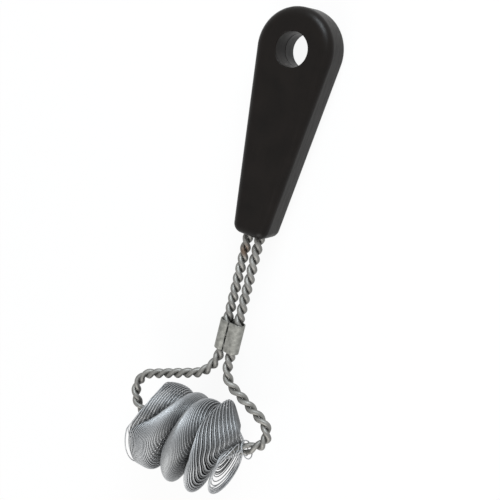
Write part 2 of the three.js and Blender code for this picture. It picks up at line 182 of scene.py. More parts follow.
class FerruleSettings(bpy.types.PropertyGroup):
    length: millimetres("Length", "Length of the band", 16.4)
    wall: millimetres("Wall", "Thickness of the sheet", 0.6)
    clearance: millimetres("Clearance", "Space between the sheet and the wires", 0.4)
    standoff: millimetres("Standoff", "From the end of the arms' bends to the band", 1.25)
    seam_offset: millimetres("Seam offset", "Place of the butt seam across the front", -0.7)
    seam_width: millimetres("Seam width", "Opening of the butt seam", 1.0)
    left_dip: millimetres("Left dip", "How far the seam's left edge is pressed in", 0.5)
    right_dip: millimetres("Right dip", "How far the seam's right edge is pressed in", 0.25)
    softness: millimetres("Softness", "Rounding of the sheet's edges", 0.15)
    sheet: colour("Sheet", "Colour of the galvanised sheet", (0.265, 0.265, 0.246))


class CoilSettings(bpy.types.PropertyGroup):
    diameter: millimetres("Diameter", "Thickness of the fine wire", 0.6)
    clearance: millimetres("Clearance", "Space between the fine wire and the heavy wires", 0.25)
    inset: millimetres("Inset", "From the left corner to the coil", 1)
    tail_length: millimetres("Tail length", "From the last ring to the right corner", 9.2)
    radius: millimetres("Radius", "From the stem to the tip of a petal", 24.4)
    fullness: five("Fullness", "Power that shapes the petals: low is wide", 0.15, 0.3, 0.36, 0.36, 0.36)
    spread: degrees("Spread", "Half the angle that a petal spans at the stem", 84)
    shoulder: number("Shoulder", "Share of half a ring between the slit and the petal", 0.12)
    neck: number("Neck", "Share of the shoulder in which the wire leaves the slit", 0.35)
    narrow: number("Narrow", "Share of the shoulder that stays as narrow as the slit", 0.3)
    waist: millimetres("Waist", "Half the width of the wire's pass between the heavy wires", 0.32)
    mouth: degrees("Mouth", "Direction of the last petal", 117)
    mouth_share: number("Mouth share", "Length of the last petal", 1)
    mouth_width: number("Mouth width", "Width of the last petal", 1.08)
    mouth_lean: number("Mouth lean", "Slant of the last petal", 0.3)
    mouth_front: number("Mouth front", "Slant of the last petal from back to front", 0.02)
    mouth_length: millimetres("Mouth length", "Length in which the petals change to the mouth", 6)
    rim_length: millimetres("Rim length", "Length in which the mouth has a few full rings only", 16)
    rim_share: number("Rim share", "Size of the petals between those of the mouth's rim", 0.14)
    far_share: number("Far share", "Size of the petal opposite the last", 0.95)
    fold: degrees("Fold", "How far the first upper petals fold to the front", 42)
    far_fold: degrees("Far fold", "How far the first lower petals fold to the front", 14)
    fold_length: millimetres("Fold length", "Length in which the fold fades", 4.5)
    fold_share: number("Fold share", "How far out the flat end of a folded petal stands", 0.84)
    loose: millimetres("Loose", "How far the first ring stands off to the left", 2)
    curl_length: millimetres("Curl length", "Length of the loose turns after the last ring", 3)
    curl_radius: millimetres("Curl radius", "Radius of the loose turns after the last ring", 4.2)
    curl_turns: number("Curl turns", "Count of the loose turns after the last ring", 2.7)
    curl_rise: number("Curl rise", "Share of the loose turns in which they widen", 0.15)
    curl_swing: number("Curl swing", "How much the loose turns differ in size", 0.25)
    curl_waves: number("Curl waves", "Radians through which the size of the loose turns swings", 7)
    pitch: five_lengths("Pitch", "Spacing of the rings", 0.45, 0.26, 0.2, 0.42, 0.6)
    twist: five("Twist", "Degrees of twist per millimetre", 1, 13, 10.5, 11.25, 6)
    low_lean: five("Low lean", "Slant of the petals under the stem", -0.17, -0.2, -0.1, 0, 0.1)
    top_lean: five("Top lean", "Slant of the petals over the stem", 0.15, 0.1, -0.22, -0.5, -0.62)
    front_lean: five("Front lean", "Slant of the upper parts from back to front", 0.1, 0, 0, 0.05, 0.7)
    low_reach: five("Low reach", "Stretch of the petals under the stem", 1.05, 1.05, 1.08, 1, 1)
    top_reach: five("Top reach", "Stretch of the petals over the stem", 0.96, 0.97, 1, 0.98, 0.88)
    dense_pitch: millimetres("Dense pitch", "Spacing at which the rings lie in one layer", 0.2)
    open_pitch: millimetres("Open pitch", "Spacing at which the rings lie in layers", 0.35)
    layer_drop: number("Layer drop", "How much the deeper rings are smaller", 0.035)
    steel: colour("Steel", "Colour of the fine wire", (0.38, 0.39, 0.4))
    # Painted shade: a darker steel colour for the rings that lie deeper, standing in for the shade among
    # the coil's layers
    shaded_steel: colour("Dull steel", "Colour of the rings that lie deeper", (0.185, 0.189, 0.192))


class StageSettings(bpy.types.PropertyGroup):
    lens: FloatProperty(name="Lens", description="Focal length", default=63.99, unit="CAMERA")
    film: FloatProperty(name="Film", description="Width of the film", default=36, unit="CAMERA")
    near: millimetres("Near", "Closest distance that the camera shows", 10)
    eye: position("Eye", "Place of the camera", (0.2021, 0.1581, 0.3947))
    right: direction("Right", "Direction to the right of the picture", (0.8364, 0.1969, -0.5117))
    up: direction("Up", "Direction to the top of the picture", (-0.3354, 0.9220, -0.1936))
    floor: colour("Floor", "Colour of the floor", (0.9, 0.9, 0.9))
    floor_white: number("Floor white", "Share of plain white in what the camera sees of the floor", 0.92)
    floor_reach: millimetres("Floor reach", "From the floor's middle to its edges", 4000)
    world: number("World", "Strength of the even light from all round", 0.45)
    key_place: position("Key place", "Place of the lamp beyond the handle", (0.3, 1.06, 0.56))
    key_size: millimetres("Key size", "Width of the lamp beyond the handle", 500)
    key_power: watts("Key power", "Power of the lamp beyond the handle", 16)
    key_tint: colour("Key tint", "Colour of the lamp beyond the handle", (0.86, 0.94, 1.0))
    fill_place: position("Fill place", "Place of the lamp beyond the head", (0.2, -1.0, 0.7))
    fill_size: millimetres("Fill size", "Width of the lamp beyond the head", 800)
    fill_power: watts("Fill power", "Power of the lamp beyond the head", 9)
    fill_tint: colour("Fill tint", "Colour of the lamp beyond the head", (1.0, 0.98, 0.95))


class BrushSettings(bpy.types.PropertyGroup):
    lie_angle: degrees("Lie angle", "How far the lying brush tips towards its head", 3.7732)
    place: position("Place", "Place of the stem's middle over the table", (0.007072, -0.104939, 0.024615))
    handle: PointerProperty(type=HandleSettings)
    wires: PointerProperty(type=WireSettings)
    ferrule: PointerProperty(type=FerruleSettings)
    coil: PointerProperty(type=CoilSettings)
    stage: PointerProperty(type=StageSettings)


def smoothstep(value, low, high):
    t = np.clip((value - low) / (high - low), 0, 1)
    return t * t * (3 - 2 * t)


def lerp(a, b, t):
    return a + (b - a) * t


def unit(vectors):
    return vectors / np.linalg.norm(vectors, axis=-1, keepdims=True)


def arc(centre, radius, start, stop, steps):
    """Points of a round bend from one angle to another"""
    angle = np.linspace(start, stop, steps + 1)
    return np.column_stack([centre[0] + radius * np.cos(angle), centre[1] + radius * np.sin(angle)])


def radial(across, angle):
    """Directions square to the centre line, turned from its side towards the front"""
    return across * np.cos(angle)[:, None] + UP * np.sin(angle)[:, None]


class FrameLoop:
    """Centre line and twist of the wire pair, by the distance along it from the top of the left leg"""

    def __init__(self, brush):
        wires, coil = brush.wires, brush.coil
        self.coil = coil
        self.wires = wires
        self.leg_x = wires.leg_spacing / 2
        self.arm_slope = math.tan(wires.arm_angle)
        corners = self.find_corners()
        bend_reach = math.tan((math.pi / 2 - wires.arm_angle) / 2)
        bend_top = max(
            self.left_bend[1] + wires.left_bend * bend_reach,
            self.right_bend[1] + wires.right_bend * bend_reach,
        )
        self.ferrule_start = bend_top + brush.ferrule.standoff
        self.handle_start = self.ferrule_start + brush.ferrule.length + wires.shank_length
        self.leg_top = self.handle_start + brush.handle.socket_depth
        self.trace(corners)
        self.coil_start = self.stem_start + coil.inset
        self.coil_end = self.stem_stop - coil.tail_length
        self.leg_offset = (wires.diameter + wires.gap) / 2
        self.head_offset = wires.diameter / 2 + coil.clearance + coil.diameter / 2
        self.twist_radius = self.leg_offset + wires.diameter / 2
        self.wind()

    def find_corners(self):
        """Places where the straight runs would meet, and the radius of the bend at each"""
        wires = self.wires
        arm = wires.arm_angle
        slope = self.arm_slope
        left_centre = np.array([wires.left_corner - wires.left_reach, wires.left_corner])
        left_touch = left_centre + wires.left_corner * np.array([-math.sin(arm), math.cos(arm)])
        self.left_bend = np.array([-self.leg_x, left_touch[1] + slope * (-self.leg_x - left_touch[0])])
        left_corner = np.array([-self.leg_x - self.left_bend[1] / slope, 0])

        right_centre = np.array([wires.right_reach - wires.right_corner, wires.right_height])
        right_touch = right_centre + wires.right_corner * np.array([math.sin(arm), math.cos(arm)])
        self.right_bend = np.array([self.leg_x, right_touch[1] + slope * (right_touch[0] - self.leg_x)])
        rise = wires.return_angle
        return_slope = math.tan(rise)
        return_touch = right_centre + wires.right_corner * np.array([math.sin(rise), -math.cos(rise)])
        stem_end = np.array([return_touch[0] - return_touch[1] / return_slope, 0])
        top = self.right_bend[1] + slope * self.leg_x
        corner_x = (top + return_slope * stem_end[0]) / (return_slope + slope)
        right_corner = np.array([corner_x, return_slope * (corner_x - stem_end[0])])
        return [
            (self.left_bend, wires.left_bend),
            (left_corner, wires.left_corner),
            (stem_end, wires.return_bend),
            (right_corner, wires.right_corner),
            (self.right_bend, wires.right_bend),
        ]

    def trace(self, corners):
        """Samples straight runs and round bends end to end"""
        first = np.array([-self.leg_x, self.leg_top])
        last = np.array([self.leg_x, self.leg_top])
        points = [first]
        headings = [-math.pi / 2]
        marks = []
        places = [first] + [point for point, _ in corners] + [last]
        for i, (corner, radius) in enumerate(corners):
            arrive = unit(corner - places[i])
            leave = unit(places[i + 2] - corner)
            turn = math.atan2(arrive[0] * leave[1] - arrive[1] * leave[0], arrive @ leave)
            start = corner - arrive * radius * math.tan(abs(turn) / 2)
            side = math.copysign(1, turn)
            centre = start + side * radius * np.array([-arrive[1], arrive[0]])
            begin = math.atan2(start[1] - centre[1], start[0] - centre[0])
            marks.append(len(points))
            points.extend(arc(centre, radius, begin, begin + turn, BEND_STEPS))
            headings.extend(headings[-1] + turn * np.linspace(0, 1, BEND_STEPS + 1))
        points.append(last)
        headings.append(headings[-1])
        self.points = np.array(points)
        self.headings = np.array(headings)
        runs = np.linalg.norm(np.diff(self.points, axis=0), axis=1)
        self.distances = np.concatenate([[0], np.cumsum(runs)])
        self.length = self.distances[-1]
        self.leg_stop = self.distances[marks[0]]
        self.stem_start = self.distances[marks[1] + BEND_STEPS]
        self.stem_stop = self.distances[marks[3]]
        self.leg_start = self.distances[marks[4] + BEND_STEPS]

    def stations(self, distance):
        """Points on the centre line, and the directions across it"""
        heading = np.interp(distance, self.distances, self.headings)
        x = np.interp(distance, self.distances, self.points[:, 0])
        y = np.interp(distance, self.distances, self.points[:, 1])
        flat = np.zeros_like(heading)
        across = np.stack([-np.sin(heading), np.cos(heading), flat], -1)
        return np.stack([x, y, flat], -1), across

    def head_share(self, distance):
        """One where the heavy wires part for the coil, and nothing in the arms and legs"""
        change = self.wires.change_length
        rise = smoothstep(distance, self.coil_start - change, self.coil_start)
        fall = smoothstep(distance, self.coil_end, self.coil_end + change)
        return rise * (1 - fall)

    def along_coil(self, distance, values):
        """A value between those of the coil's even places"""
        return np.interp(distance, np.linspace(self.coil_start, self.coil_end, PLACES), values)

    def wind(self):
        """Left-handed twist along the centre line, counted from the coil's end"""
        self.turn_places = np.linspace(0, self.length, TWIST_STEPS + 1)
        in_arms = (self.turn_places > self.leg_stop) & (self.turn_places < self.leg_start)
        bare_rate = 2 * math.pi / np.where(in_arms, self.wires.arm_pitch, self.wires.leg_pitch)
        head_rate = np.radians(self.along_coil(self.turn_places, self.coil.twist)) / MM
        rate = lerp(bare_rate, head_rate, self.head_share(self.turn_places))
        step = self.turn_places[1]
        angles = np.concatenate([[0], np.cumsum((rate[1:] + rate[:-1]) * -step / 2)])
        self.angles = angles - np.interp(self.coil_end, self.turn_places, angles)

    def petal_angle(self, distance):
        """Direction in which the slit between the heavy wires opens"""
        return self.coil.mouth + np.interp(distance, self.turn_places, self.angles)

    def strand(self, side):
        """Route of one heavy wire of the pair"""
        distance = np.linspace(0, self.length, round(self.length / WIRE_STEP))
        point, across = self.stations(distance)
        offset = lerp(self.leg_offset, self.head_offset, self.head_share(distance))
        angle = self.petal_angle(distance) + side * math.pi / 2
        return point + radial(across, angle) * offset[:, None]

    def arm_underside(self, x):
        """Highest place of the fine wire under an arm"""
        bend = np.where(x < 0, self.left_bend[1], self.right_bend[1])
        arm = bend - self.arm_slope * (np.abs(x) - self.leg_x)
        room = self.twist_radius + self.coil.clearance + self.coil.diameter / 2
        return arm - room / math.cos(self.wires.arm_angle)

    def petal(self, sweep, radius, flat, fullness):
        """Half a ring: out of the slit between the heavy wires, round a petal and back to the slit"""
        coil = self.coil
        theta = coil.spread * np.clip((sweep - 0.5) / (0.5 - coil.shoulder), -1, 1)
        reach = np.minimum(radius * np.cos(theta) ** fullness, flat / np.cos(theta))
        out = reach * np.cos(theta)
        aside = reach * np.sin(theta)
        way = np.clip(np.minimum(sweep, 1 - sweep) / coil.shoulder, 0, 1)
        side = np.sign(sweep - 0.5)
        in_slit = self.head_offset * smoothstep(way, 0, coil.neck)
        widening = np.clip((way - coil.narrow) / (1 - coil.narrow), 0, 1)
        out = np.where(way < 1, lerp(in_slit, out, smoothstep(way, coil.neck, 1)), out)
        aside = np.where(way < 1, lerp(side * coil.waist, aside, widening), aside)
        return out, aside

    def coil_route(self):
        """Route of the fine wire, and the painted shade of each place, by how deep it lies under the
        coil's outside
        """
        coil = self.coil
        place = np.linspace(self.coil_start, self.coil_end, PITCH_STEPS + 1)
        density = 1 / self.along_coil(place, coil.pitch)
        rings = np.concatenate([[0], np.cumsum((density[1:] + density[:-1]) / 2 * np.diff(place))])
        ring_count = round(rings[-1])
        rings *= ring_count / rings[-1]
        ring = np.linspace(0, ring_count, ring_count * RING_STEPS + 1)
        distance = np.interp(ring, rings, place)
        sweep = ring * 2 % 1
        far = ring % 1 >= 0.5
        flip = np.where(far, -1, 1)

        layer = np.minimum(np.floor(ring + ROUNDING) % LAYERS, 1)
        in_rim = ~far & (distance > self.coil_end - coil.rim_length)
        tucked = in_rim & (layer > 0)
        drop = layer * smoothstep(self.along_coil(distance, coil.pitch), coil.dense_pitch, coil.open_pitch)
        radius = coil.radius * np.where(tucked, coil.rim_share, 1 - coil.layer_drop * drop)

        start = np.exp((self.coil_start - distance) / coil.fold_length)
        fold = np.where(far, 0, start)
        flat = radius * lerp(CLEAR_OF_PETAL, coil.fold_share, fold)
        mouth = smoothstep(distance, self.coil_end - coil.mouth_length, self.coil_end)
        out, aside = self.petal(sweep, radius, flat, self.along_coil(distance, coil.fullness))
        out = out * flip * lerp(1, np.where(far, coil.far_share, coil.mouth_share), mouth)
        aside = aside * flip * lerp(1, np.where(far, coil.far_share, coil.mouth_width), mouth)
        angle = self.petal_angle(distance) + np.where(far, -coil.far_fold, coil.fold) * start
        points = self.coil_points(distance, angle, out, aside, far, mouth)
        points[:, 0] -= np.where(far & (ring < 1), coil.loose * np.sin(math.pi * sweep), 0)
        points = np.concatenate([points, self.curl_points(angle[-1])])
        # Painted shade: the deeper rings are marked for a darker colour, and the mouth's rim and the loose
        # turns are not
        shade_levels = np.concatenate([np.where(in_rim, 0, layer), np.zeros(CURL_STEPS)])
        return points, shade_levels

    def curl_points(self, start):
        """Loose turns of the fine wire round the stem after the last ring"""
        coil = self.coil
        way = np.linspace(0, 1, CURL_STEPS + 1)[1:]
        point, across = self.stations(self.coil_end + coil.curl_length * way)
        angle = start - 2 * math.pi * coil.curl_turns * way
        size = smoothstep(way, 0, coil.curl_rise) * (1 - coil.curl_swing * np.sin(coil.curl_waves * way))
        return point + radial(across, angle) * (coil.curl_radius * size)[:, None]

    def coil_points(self, distance, angle, out, aside, far, mouth):
        """Places of the fine wire at distances along the stem"""
        coil = self.coil
        point, _ = self.stations(distance)
        height = out * np.cos(angle) - aside * np.sin(angle)
        depth = out * np.sin(angle) + aside * np.cos(angle)
        low_reach = self.along_coil(distance, coil.low_reach)
        top_reach = self.along_coil(distance, coil.top_reach)
        height = height * np.where(height < 0, low_reach, top_reach)
        low_lean = self.along_coil(distance, coil.low_lean)
        top_lean = self.along_coil(distance, coil.top_lean)
        lean = np.where(height < 0, low_lean, top_lean)
        front = self.along_coil(distance, coil.front_lean) * depth
        front *= np.where(far & (depth < 0), 1, smoothstep(height, 0, coil.radius / 2))
        rim = np.where(far, 0, mouth)
        lean = lerp(lean, coil.mouth_lean, rim)
        front = lerp(front, coil.mouth_front * depth, rim)
        place = point + np.stack([lean * height + front, height, depth], -1)
        place[:, 1] = np.minimum(place[:, 1], self.arm_underside(place[:, 0]))
        return place


def brush_pose(brush):
    """From the brush's own frame to where it lies on the table"""
    return Matrix.Translation(brush.place) @ Matrix.Rotation(-brush.lie_angle, 4, "X")


def skin(ring_count, size):
    """Faces between rings of points that each close on themselves"""
    faces = []
    for ring in range(ring_count - 1):
        for i in range(size):
            a = ring * size + i
            b = ring * size + (i + 1) % size
            faces.append((a, b, b + size, a + size))
    return faces


def loft(rings):
    """Vertices and faces of a body through rings of points, closed at both ends"""
    size = len(rings[0])
    faces = skin(len(rings), size)
    last = (len(rings) - 1) * size
    faces.append(tuple(range(size))[::-1])
    faces.append(tuple(range(last, last + size)))
    return np.concatenate(rings), faces


def tube(points, radius, sides):
    """Vertices and faces of a round wire along its route"""
    run = unit(np.gradient(points, axis=0))
    turn = np.linspace(0, 2 * math.pi, sides, endpoint=False)
    u = np.cross(run[0], SKEW)
    rings = []
    for point, along in zip(points, run):
        u = unit(u - along * (u @ along))
        v = np.cross(along, u)
        rings.append(point + radius * (np.outer(np.cos(turn), u) + np.outer(np.sin(turn), v)))
    return loft(rings)


def add_piece(name, vertices, faces, pose, material):
    """A piece of the brush from points in the brush's own frame, laid where the brush lies"""
    mesh = bpy.data.meshes.new(name)
    mesh.from_pydata(np.asarray(vertices).tolist(), [], faces)
    mesh.transform(pose)
    mesh.materials.append(material)
    mesh.shade_smooth()
    piece = bpy.data.objects.new(name, mesh)
    bpy.context.scene.collection.objects.link(piece)
    return piece


def dress(piece, slot, *nodes):
    """Ties a piece to the brush and lets it stand for its solids"""
    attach(piece, BODY)
    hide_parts(*nodes)


def shade(base, factor):
    return tuple(min(1.0, channel * factor) for channel in base)


class Finish:
    """A material with short calls for the nodes that it uses"""

    def __init__(self, name):
        self.material = bpy.data.materials.new(name)
        self.material.use_nodes = True
        self.tree = self.material.node_tree
        self.surface = self.tree.nodes["Principled BSDF"]
        self.place = self.add("ShaderNodeTexCoord").outputs["Object"]

    def add(self, kind, **inputs):
        node = self.tree.nodes.new(kind)
        for name, value in inputs.items():
            self.feed(node.inputs[name.replace("_", " ")], value)
        return node

    def feed(self, socket, value):
        if isinstance(value, bpy.types.NodeSocket):
            self.tree.links.new(value, socket)
        else:
            socket.default_value = value

    def set(self, **inputs):
        for name, value in inputs.items():
            self.feed(self.surface.inputs[name.replace("_", " ")], value)

    def noise(self, scale, detail, stretch=None):
        place = self.place
        if stretch:
            place = self.add("ShaderNodeMapping", Vector=place, Scale=stretch).outputs["Vector"]
        return self.add("ShaderNodeTexNoise", Vector=place, Scale=scale, Detail=detail).outputs[0]

    def blend(self, factor, low, high, start=0.3, stop=0.7):
        """A colour between two others"""
        ramp = self.add("ShaderNodeValToRGB", Fac=factor)
        for element, place, tone in zip(ramp.color_ramp.elements, (start, stop), (low, high)):
            element.position = place
            element.color = (*tone, 1)
        return ramp.outputs["Color"]

    def mottle(self, factor, base, darker, lighter):
        """A colour that wanders between a darker and a lighter shade of itself"""
        return self.blend(factor, shade(base, darker), shade(base, lighter))

    def mix(self, factor, low, high):
        """One colour laid over another"""
        node = self.add("ShaderNodeMix")
        node.data_type = "RGBA"
        for socket, value in zip(MIX_INPUTS, (factor, low, high)):
            self.feed(node.inputs[socket], value)
        return node.outputs[MIX_OUTPUT]

    def scaled(self, factor, low, high, start=0.3, stop=0.7):
        """A number between two others"""
        node = self.add("ShaderNodeMapRange", Value=factor)
        for name, value in (("From Min", start), ("From Max", stop), ("To Min", low), ("To Max", high)):
            node.inputs[name].default_value = value
        return node.outputs["Result"]

    def bump(self, height, strength, distance, under=None):
        node = self.add("ShaderNodeBump", Strength=strength, Distance=distance, Height=height)
        if under:
            self.feed(node.inputs["Normal"], under)
        return node.outputs["Normal"]


def black_plastic(handle):
    """Satin black moulded plastic with a fine grain and faint long streaks"""
    finish = Finish("black_plastic")
    patches = finish.noise(scale=90, detail=4)
    streaks = finish.noise(scale=700, detail=3, stretch=(1.0, 0.06, 1.0))
    grain = finish.noise(scale=2600, detail=2)
    drawn = finish.bump(streaks, strength=0.08, distance=0.3 * MM)
    finish.set(
        Base_Color=finish.mottle(patches, handle.plastic, darker=0.75, lighter=1.35),
        Roughness=finish.scaled(streaks, low=0.32, high=0.44),
        Specular_IOR_Level=0.13,
        Normal=finish.bump(grain, strength=0.12, distance=0.2 * MM, under=drawn),
    )
    return finish.material


def galvanised_wire(wires, rusty_place):
    """Dull grey zinc on drawn wire, with a rusty spot near the handle"""
    finish = Finish("galvanised_wire")
    patches = finish.noise(scale=260, detail=5)
    bloom = finish.noise(scale=1400, detail=3)
    zinc = finish.mottle(patches, wires.zinc, darker=0.8, lighter=1.15)
    near = finish.add("ShaderNodeVectorMath")
    near.operation = "DISTANCE"
    finish.feed(near.inputs[0], finish.place)
    near.inputs[1].default_value = rusty_place
    away = near.outputs["Value"]
    spot = finish.scaled(away, low=wires.rust_share, high=0, start=wires.rust_core, stop=wires.rust_size)
    finish.set(
        Base_Color=finish.mix(spot, zinc, (*wires.rust, 1)),
        Metallic=1.0,
        Roughness=finish.scaled(bloom, low=0.5, high=0.66),
        Normal=finish.bump(bloom, strength=0.15, distance=0.2 * MM),
    )
    return finish.material


def galvanised_sheet(ferrule):
    """Mottled zinc on bent sheet"""
    finish = Finish("galvanised_sheet")
    spangle = finish.noise(scale=420, detail=4)
    bloom = finish.noise(scale=1500, detail=3)
    fine = finish.bump(bloom, strength=0.15, distance=0.2 * MM)
    finish.set(
        Base_Color=finish.mottle(spangle, ferrule.sheet, darker=0.65, lighter=1.25),
        Metallic=1.0,
        Roughness=finish.scaled(bloom, low=0.52, high=0.68),
        Normal=finish.bump(spangle, strength=0.2, distance=0.4 * MM, under=fine),
    )
    return finish.material


def bright_wire(coil):
    """Drawn steel of the fine wire, with painted shade that darkens the rings that lie deeper"""
    finish = Finish("bright_wire")
    patches = finish.noise(scale=180, detail=3)
    # Painted shade: a per-point attribute blends the steel towards a darker colour on the deeper rings
    painted_shade = finish.add("ShaderNodeAttribute")
    painted_shade.attribute_name = "painted_shade"
    finish.set(
        Base_Color=finish.blend(painted_shade.outputs["Fac"], coil.steel, coil.shaded_steel, start=0, stop=1),
        Metallic=1.0,
        Roughness=finish.scaled(patches, low=0.5, high=0.6),
    )
    return finish.material


def handle_outline(handle, foot, inset):
    """The handle's outline, drawn in by an inset, counter-clockwise from the right foot corner"""
    end_centre = foot + handle.length - handle.end_radius
    foot_half = handle.foot_width / 2
    rise = end_centre - foot
    lean = math.atan2(rise, -foot_half) - math.asin(handle.end_radius / math.hypot(rise, foot_half))
    normal = np.array([math.sin(lean), -math.cos(lean)])
    tilt = math.atan2(normal[1], normal[0])
    radius = max(handle.foot_radius - inset, LEAST_RADIUS)
    side = normal @ [foot_half, foot] - inset
    corner_y = foot + inset + radius
    corner_x = (side - radius - normal[1] * corner_y) / normal[0]
    return np.concatenate([
        arc((corner_x, corner_y), radius, -math.pi / 2, tilt, FOOT_STEPS),
        arc((0, end_centre), handle.end_radius - inset, tilt, math.pi - tilt, END_STEPS),
        arc((-corner_x, corner_y), radius, math.pi - tilt, 1.5 * math.pi, FOOT_STEPS),
    ])


def handle_body(handle, foot):
    """The whole handle with its rounded long edges, from back to front"""
    half = handle.thickness / 2
    turn = np.linspace(0, math.pi / 2, EDGE_STEPS + 1)
    insets = handle.edge_radius * (1 - np.sin(turn))
    heights = half - handle.edge_radius * (1 - np.cos(turn))
    back = list(zip(insets, -heights))
    front = list(zip(insets, heights))
    rings = []
    for inset, z in back + front[::-1]:
        outline = handle_outline(handle, foot, inset)
        rings.append(np.column_stack([outline, np.full(len(outline), z)]))
    return loft(rings)


def hole_cutter(handle, foot):
    """A turned cutter for the hang hole: rounded rims, a slight draft and the mould's line half way"""
    half = handle.thickness / 2
    rim = handle.rim_radius
    wide = handle.hole_radius
    waist = wide - handle.hole_draft
    groove = handle.groove
    back = [(-half - CUT_BEYOND, wide + rim + CUT_FLARE)]
    for angle in np.linspace(0, math.pi / 2, RIM_STEPS + 1):
        back.append((-half + rim * (1 - math.cos(angle)), wide + rim * (1 - math.sin(angle))))
    back.append((-2 * groove, waist))
    back.append((-groove, waist + 2 * groove))
    front = [(-z, radius) for z, radius in reversed(back)]
    centre = foot + handle.length - handle.end_radius
    turn = np.linspace(0, 2 * math.pi, HOLE_SIDES, endpoint=False)
    rings = [
        np.column_stack([radius * np.cos(turn), centre + radius * np.sin(turn), np.full(HOLE_SIDES, z)])
        for z, radius in back + front
    ]
    return loft(rings)


def socket_cutter(x, radius, foot, depth):
    """A round bar for the bore that a leg stands in"""
    turn = np.linspace(0, 2 * math.pi, SOCKET_SIDES, endpoint=False)
    rings = [
        np.column_stack([x + radius * np.cos(turn), np.full(SOCKET_SIDES, y), -radius * np.sin(turn)])
        for y in (foot - CUT_BEYOND, foot + depth)
    ]
    return loft(rings)


def cut(piece, cutters, pose):
    """Cuts each cutter out of a piece, and leaves plain mesh"""
    tools = []
    for vertices, faces in cutters:
        tool = add_piece("cutter", vertices, faces, pose, piece.data.materials[0])
        modifier = piece.modifiers.new("cut", "BOOLEAN")
        modifier.object = tool
        modifier.operation = "DIFFERENCE"
        modifier.solver = "EXACT"
        tools.append(tool)
    depsgraph = bpy.context.evaluated_depsgraph_get()
    mesh = bpy.data.meshes.new_from_object(piece.evaluated_get(depsgraph))
    piece.modifiers.clear()
    piece.data = mesh
    for tool in tools:
        bpy.data.objects.remove(tool)


class GRILL_BRUSH_OT_handle(bpy.types.Operator):
    """Add the moulded handle with its hang hole and its sockets"""

    bl_idname = "grill_brush.handle"
    bl_label = "Handle"

    def execute(self, context):
        brush = context.scene.grill_brush
        handle = brush.handle
        loop = FrameLoop(brush)
        pose = brush_pose(brush)
        foot = loop.handle_start
        vertices, faces = handle_body(handle, foot)
        piece = add_piece("handle_grip", vertices, faces, pose, black_plastic(handle))
        radius = loop.twist_radius + handle.socket_clearance
        depth = handle.socket_depth + handle.socket_room
        cutters = [hole_cutter(handle, foot)]
        for x in (-loop.leg_x, loop.leg_x):
            cutters.append(socket_cutter(x, radius, foot, depth))
        cut(piece, cutters, pose)
        piece.data.shade_smooth()
        piece.data.set_sharp_from_angle(angle=HANDLE_SHARP_ANGLE)
        piece.modifiers.new("even_shading", "WEIGHTED_NORMAL").keep_sharp = True
        dress(piece, "black_plastic", "handle")
        return {"FINISHED"}


class GRILL_BRUSH_OT_frame_wires(bpy.types.Operator):
    """Add the two heavy wires, twisted together round the whole frame"""

    bl_idname = "grill_brush.frame_wires"
    bl_label = "Frame wires"

    def execute(self, context):
        brush = context.scene.grill_brush
        wires = brush.wires
        loop = FrameLoop(brush)
        pose = brush_pose(brush)
        rust_x = wires.diameter / 2 - loop.leg_x
        rust_y = loop.handle_start - wires.rust_drop
        material = galvanised_wire(wires, pose @ Vector((rust_x, rust_y, wires.diameter)))
        strands = (("frame_strand_a", 1, "frame_wire_a"), ("frame_strand_b", -1, "frame_wire_b"))
        for name, side, node in strands:
            vertices, faces = tube(loop.strand(side), wires.diameter / 2, WIRE_SIDES)
            piece = add_piece(name, vertices, faces, pose, material)
            piece.data.set_sharp_from_angle(angle=SHARP_ANGLE)
            dress(piece, "galvanised_wire", node)
        return {"FINISHED"}


def ferrule_section(loop, ferrule):
    """Middle line of the bent sheet across the legs, from seam to seam, and its outward directions"""
    middle = loop.twist_radius + ferrule.clearance + ferrule.wall / 2
    leg = loop.leg_x
    left_seam = ferrule.seam_offset - ferrule.seam_width / 2
    right_seam = ferrule.seam_offset + ferrule.seam_width / 2
    left_x = np.linspace(left_seam, -leg, BAND_FLAT_STEPS + 1)[:-1]
    back_x = np.linspace(-leg, leg, BAND_FLAT_STEPS + 1)[1:-1]
    right_x = np.linspace(leg, right_seam, BAND_FRONT_STEPS + 1)[1:]
    points = np.concatenate([
        np.column_stack([left_x, middle - ferrule.left_dip * smoothstep(left_x, -leg, left_seam)]),
        arc((-leg, 0), middle, math.pi / 2, 1.5 * math.pi, BAND_BEND_STEPS),
        np.column_stack([back_x, np.full(len(back_x), -middle)]),
        arc((leg, 0), middle, -math.pi / 2, math.pi / 2, BAND_BEND_STEPS),
        np.column_stack([right_x, middle - ferrule.right_dip * smoothstep(right_x, leg, right_seam)]),
    ])
    run = unit(np.gradient(points, axis=0))
    return points, np.column_stack([run[:, 1], -run[:, 0]])


def ferrule_band(loop, ferrule):
    """The sheet's section drawn along the legs, open at the seam"""
    points, outward = ferrule_section(loop, ferrule)
    outer = points + outward * ferrule.wall / 2
    inner = points - outward * ferrule.wall / 2
    x, z = np.concatenate([outer, inner[::-1]]).T
    size = len(x)
    rings = []
    for y in np.linspace(0, ferrule.length, BAND_STEPS + 1):
        rings.append(np.column_stack([x, np.full(size, loop.ferrule_start + y), z]))
    faces = skin(len(rings), size)
    last = (len(rings) - 1) * size
    for i in range(len(points) - 1):
        j = size - 1 - i
        faces.append((i + 1, i, j, j - 1))
        faces.append((last + i, last + i + 1, last + j - 1, last + j))
    return np.concatenate(rings), faces


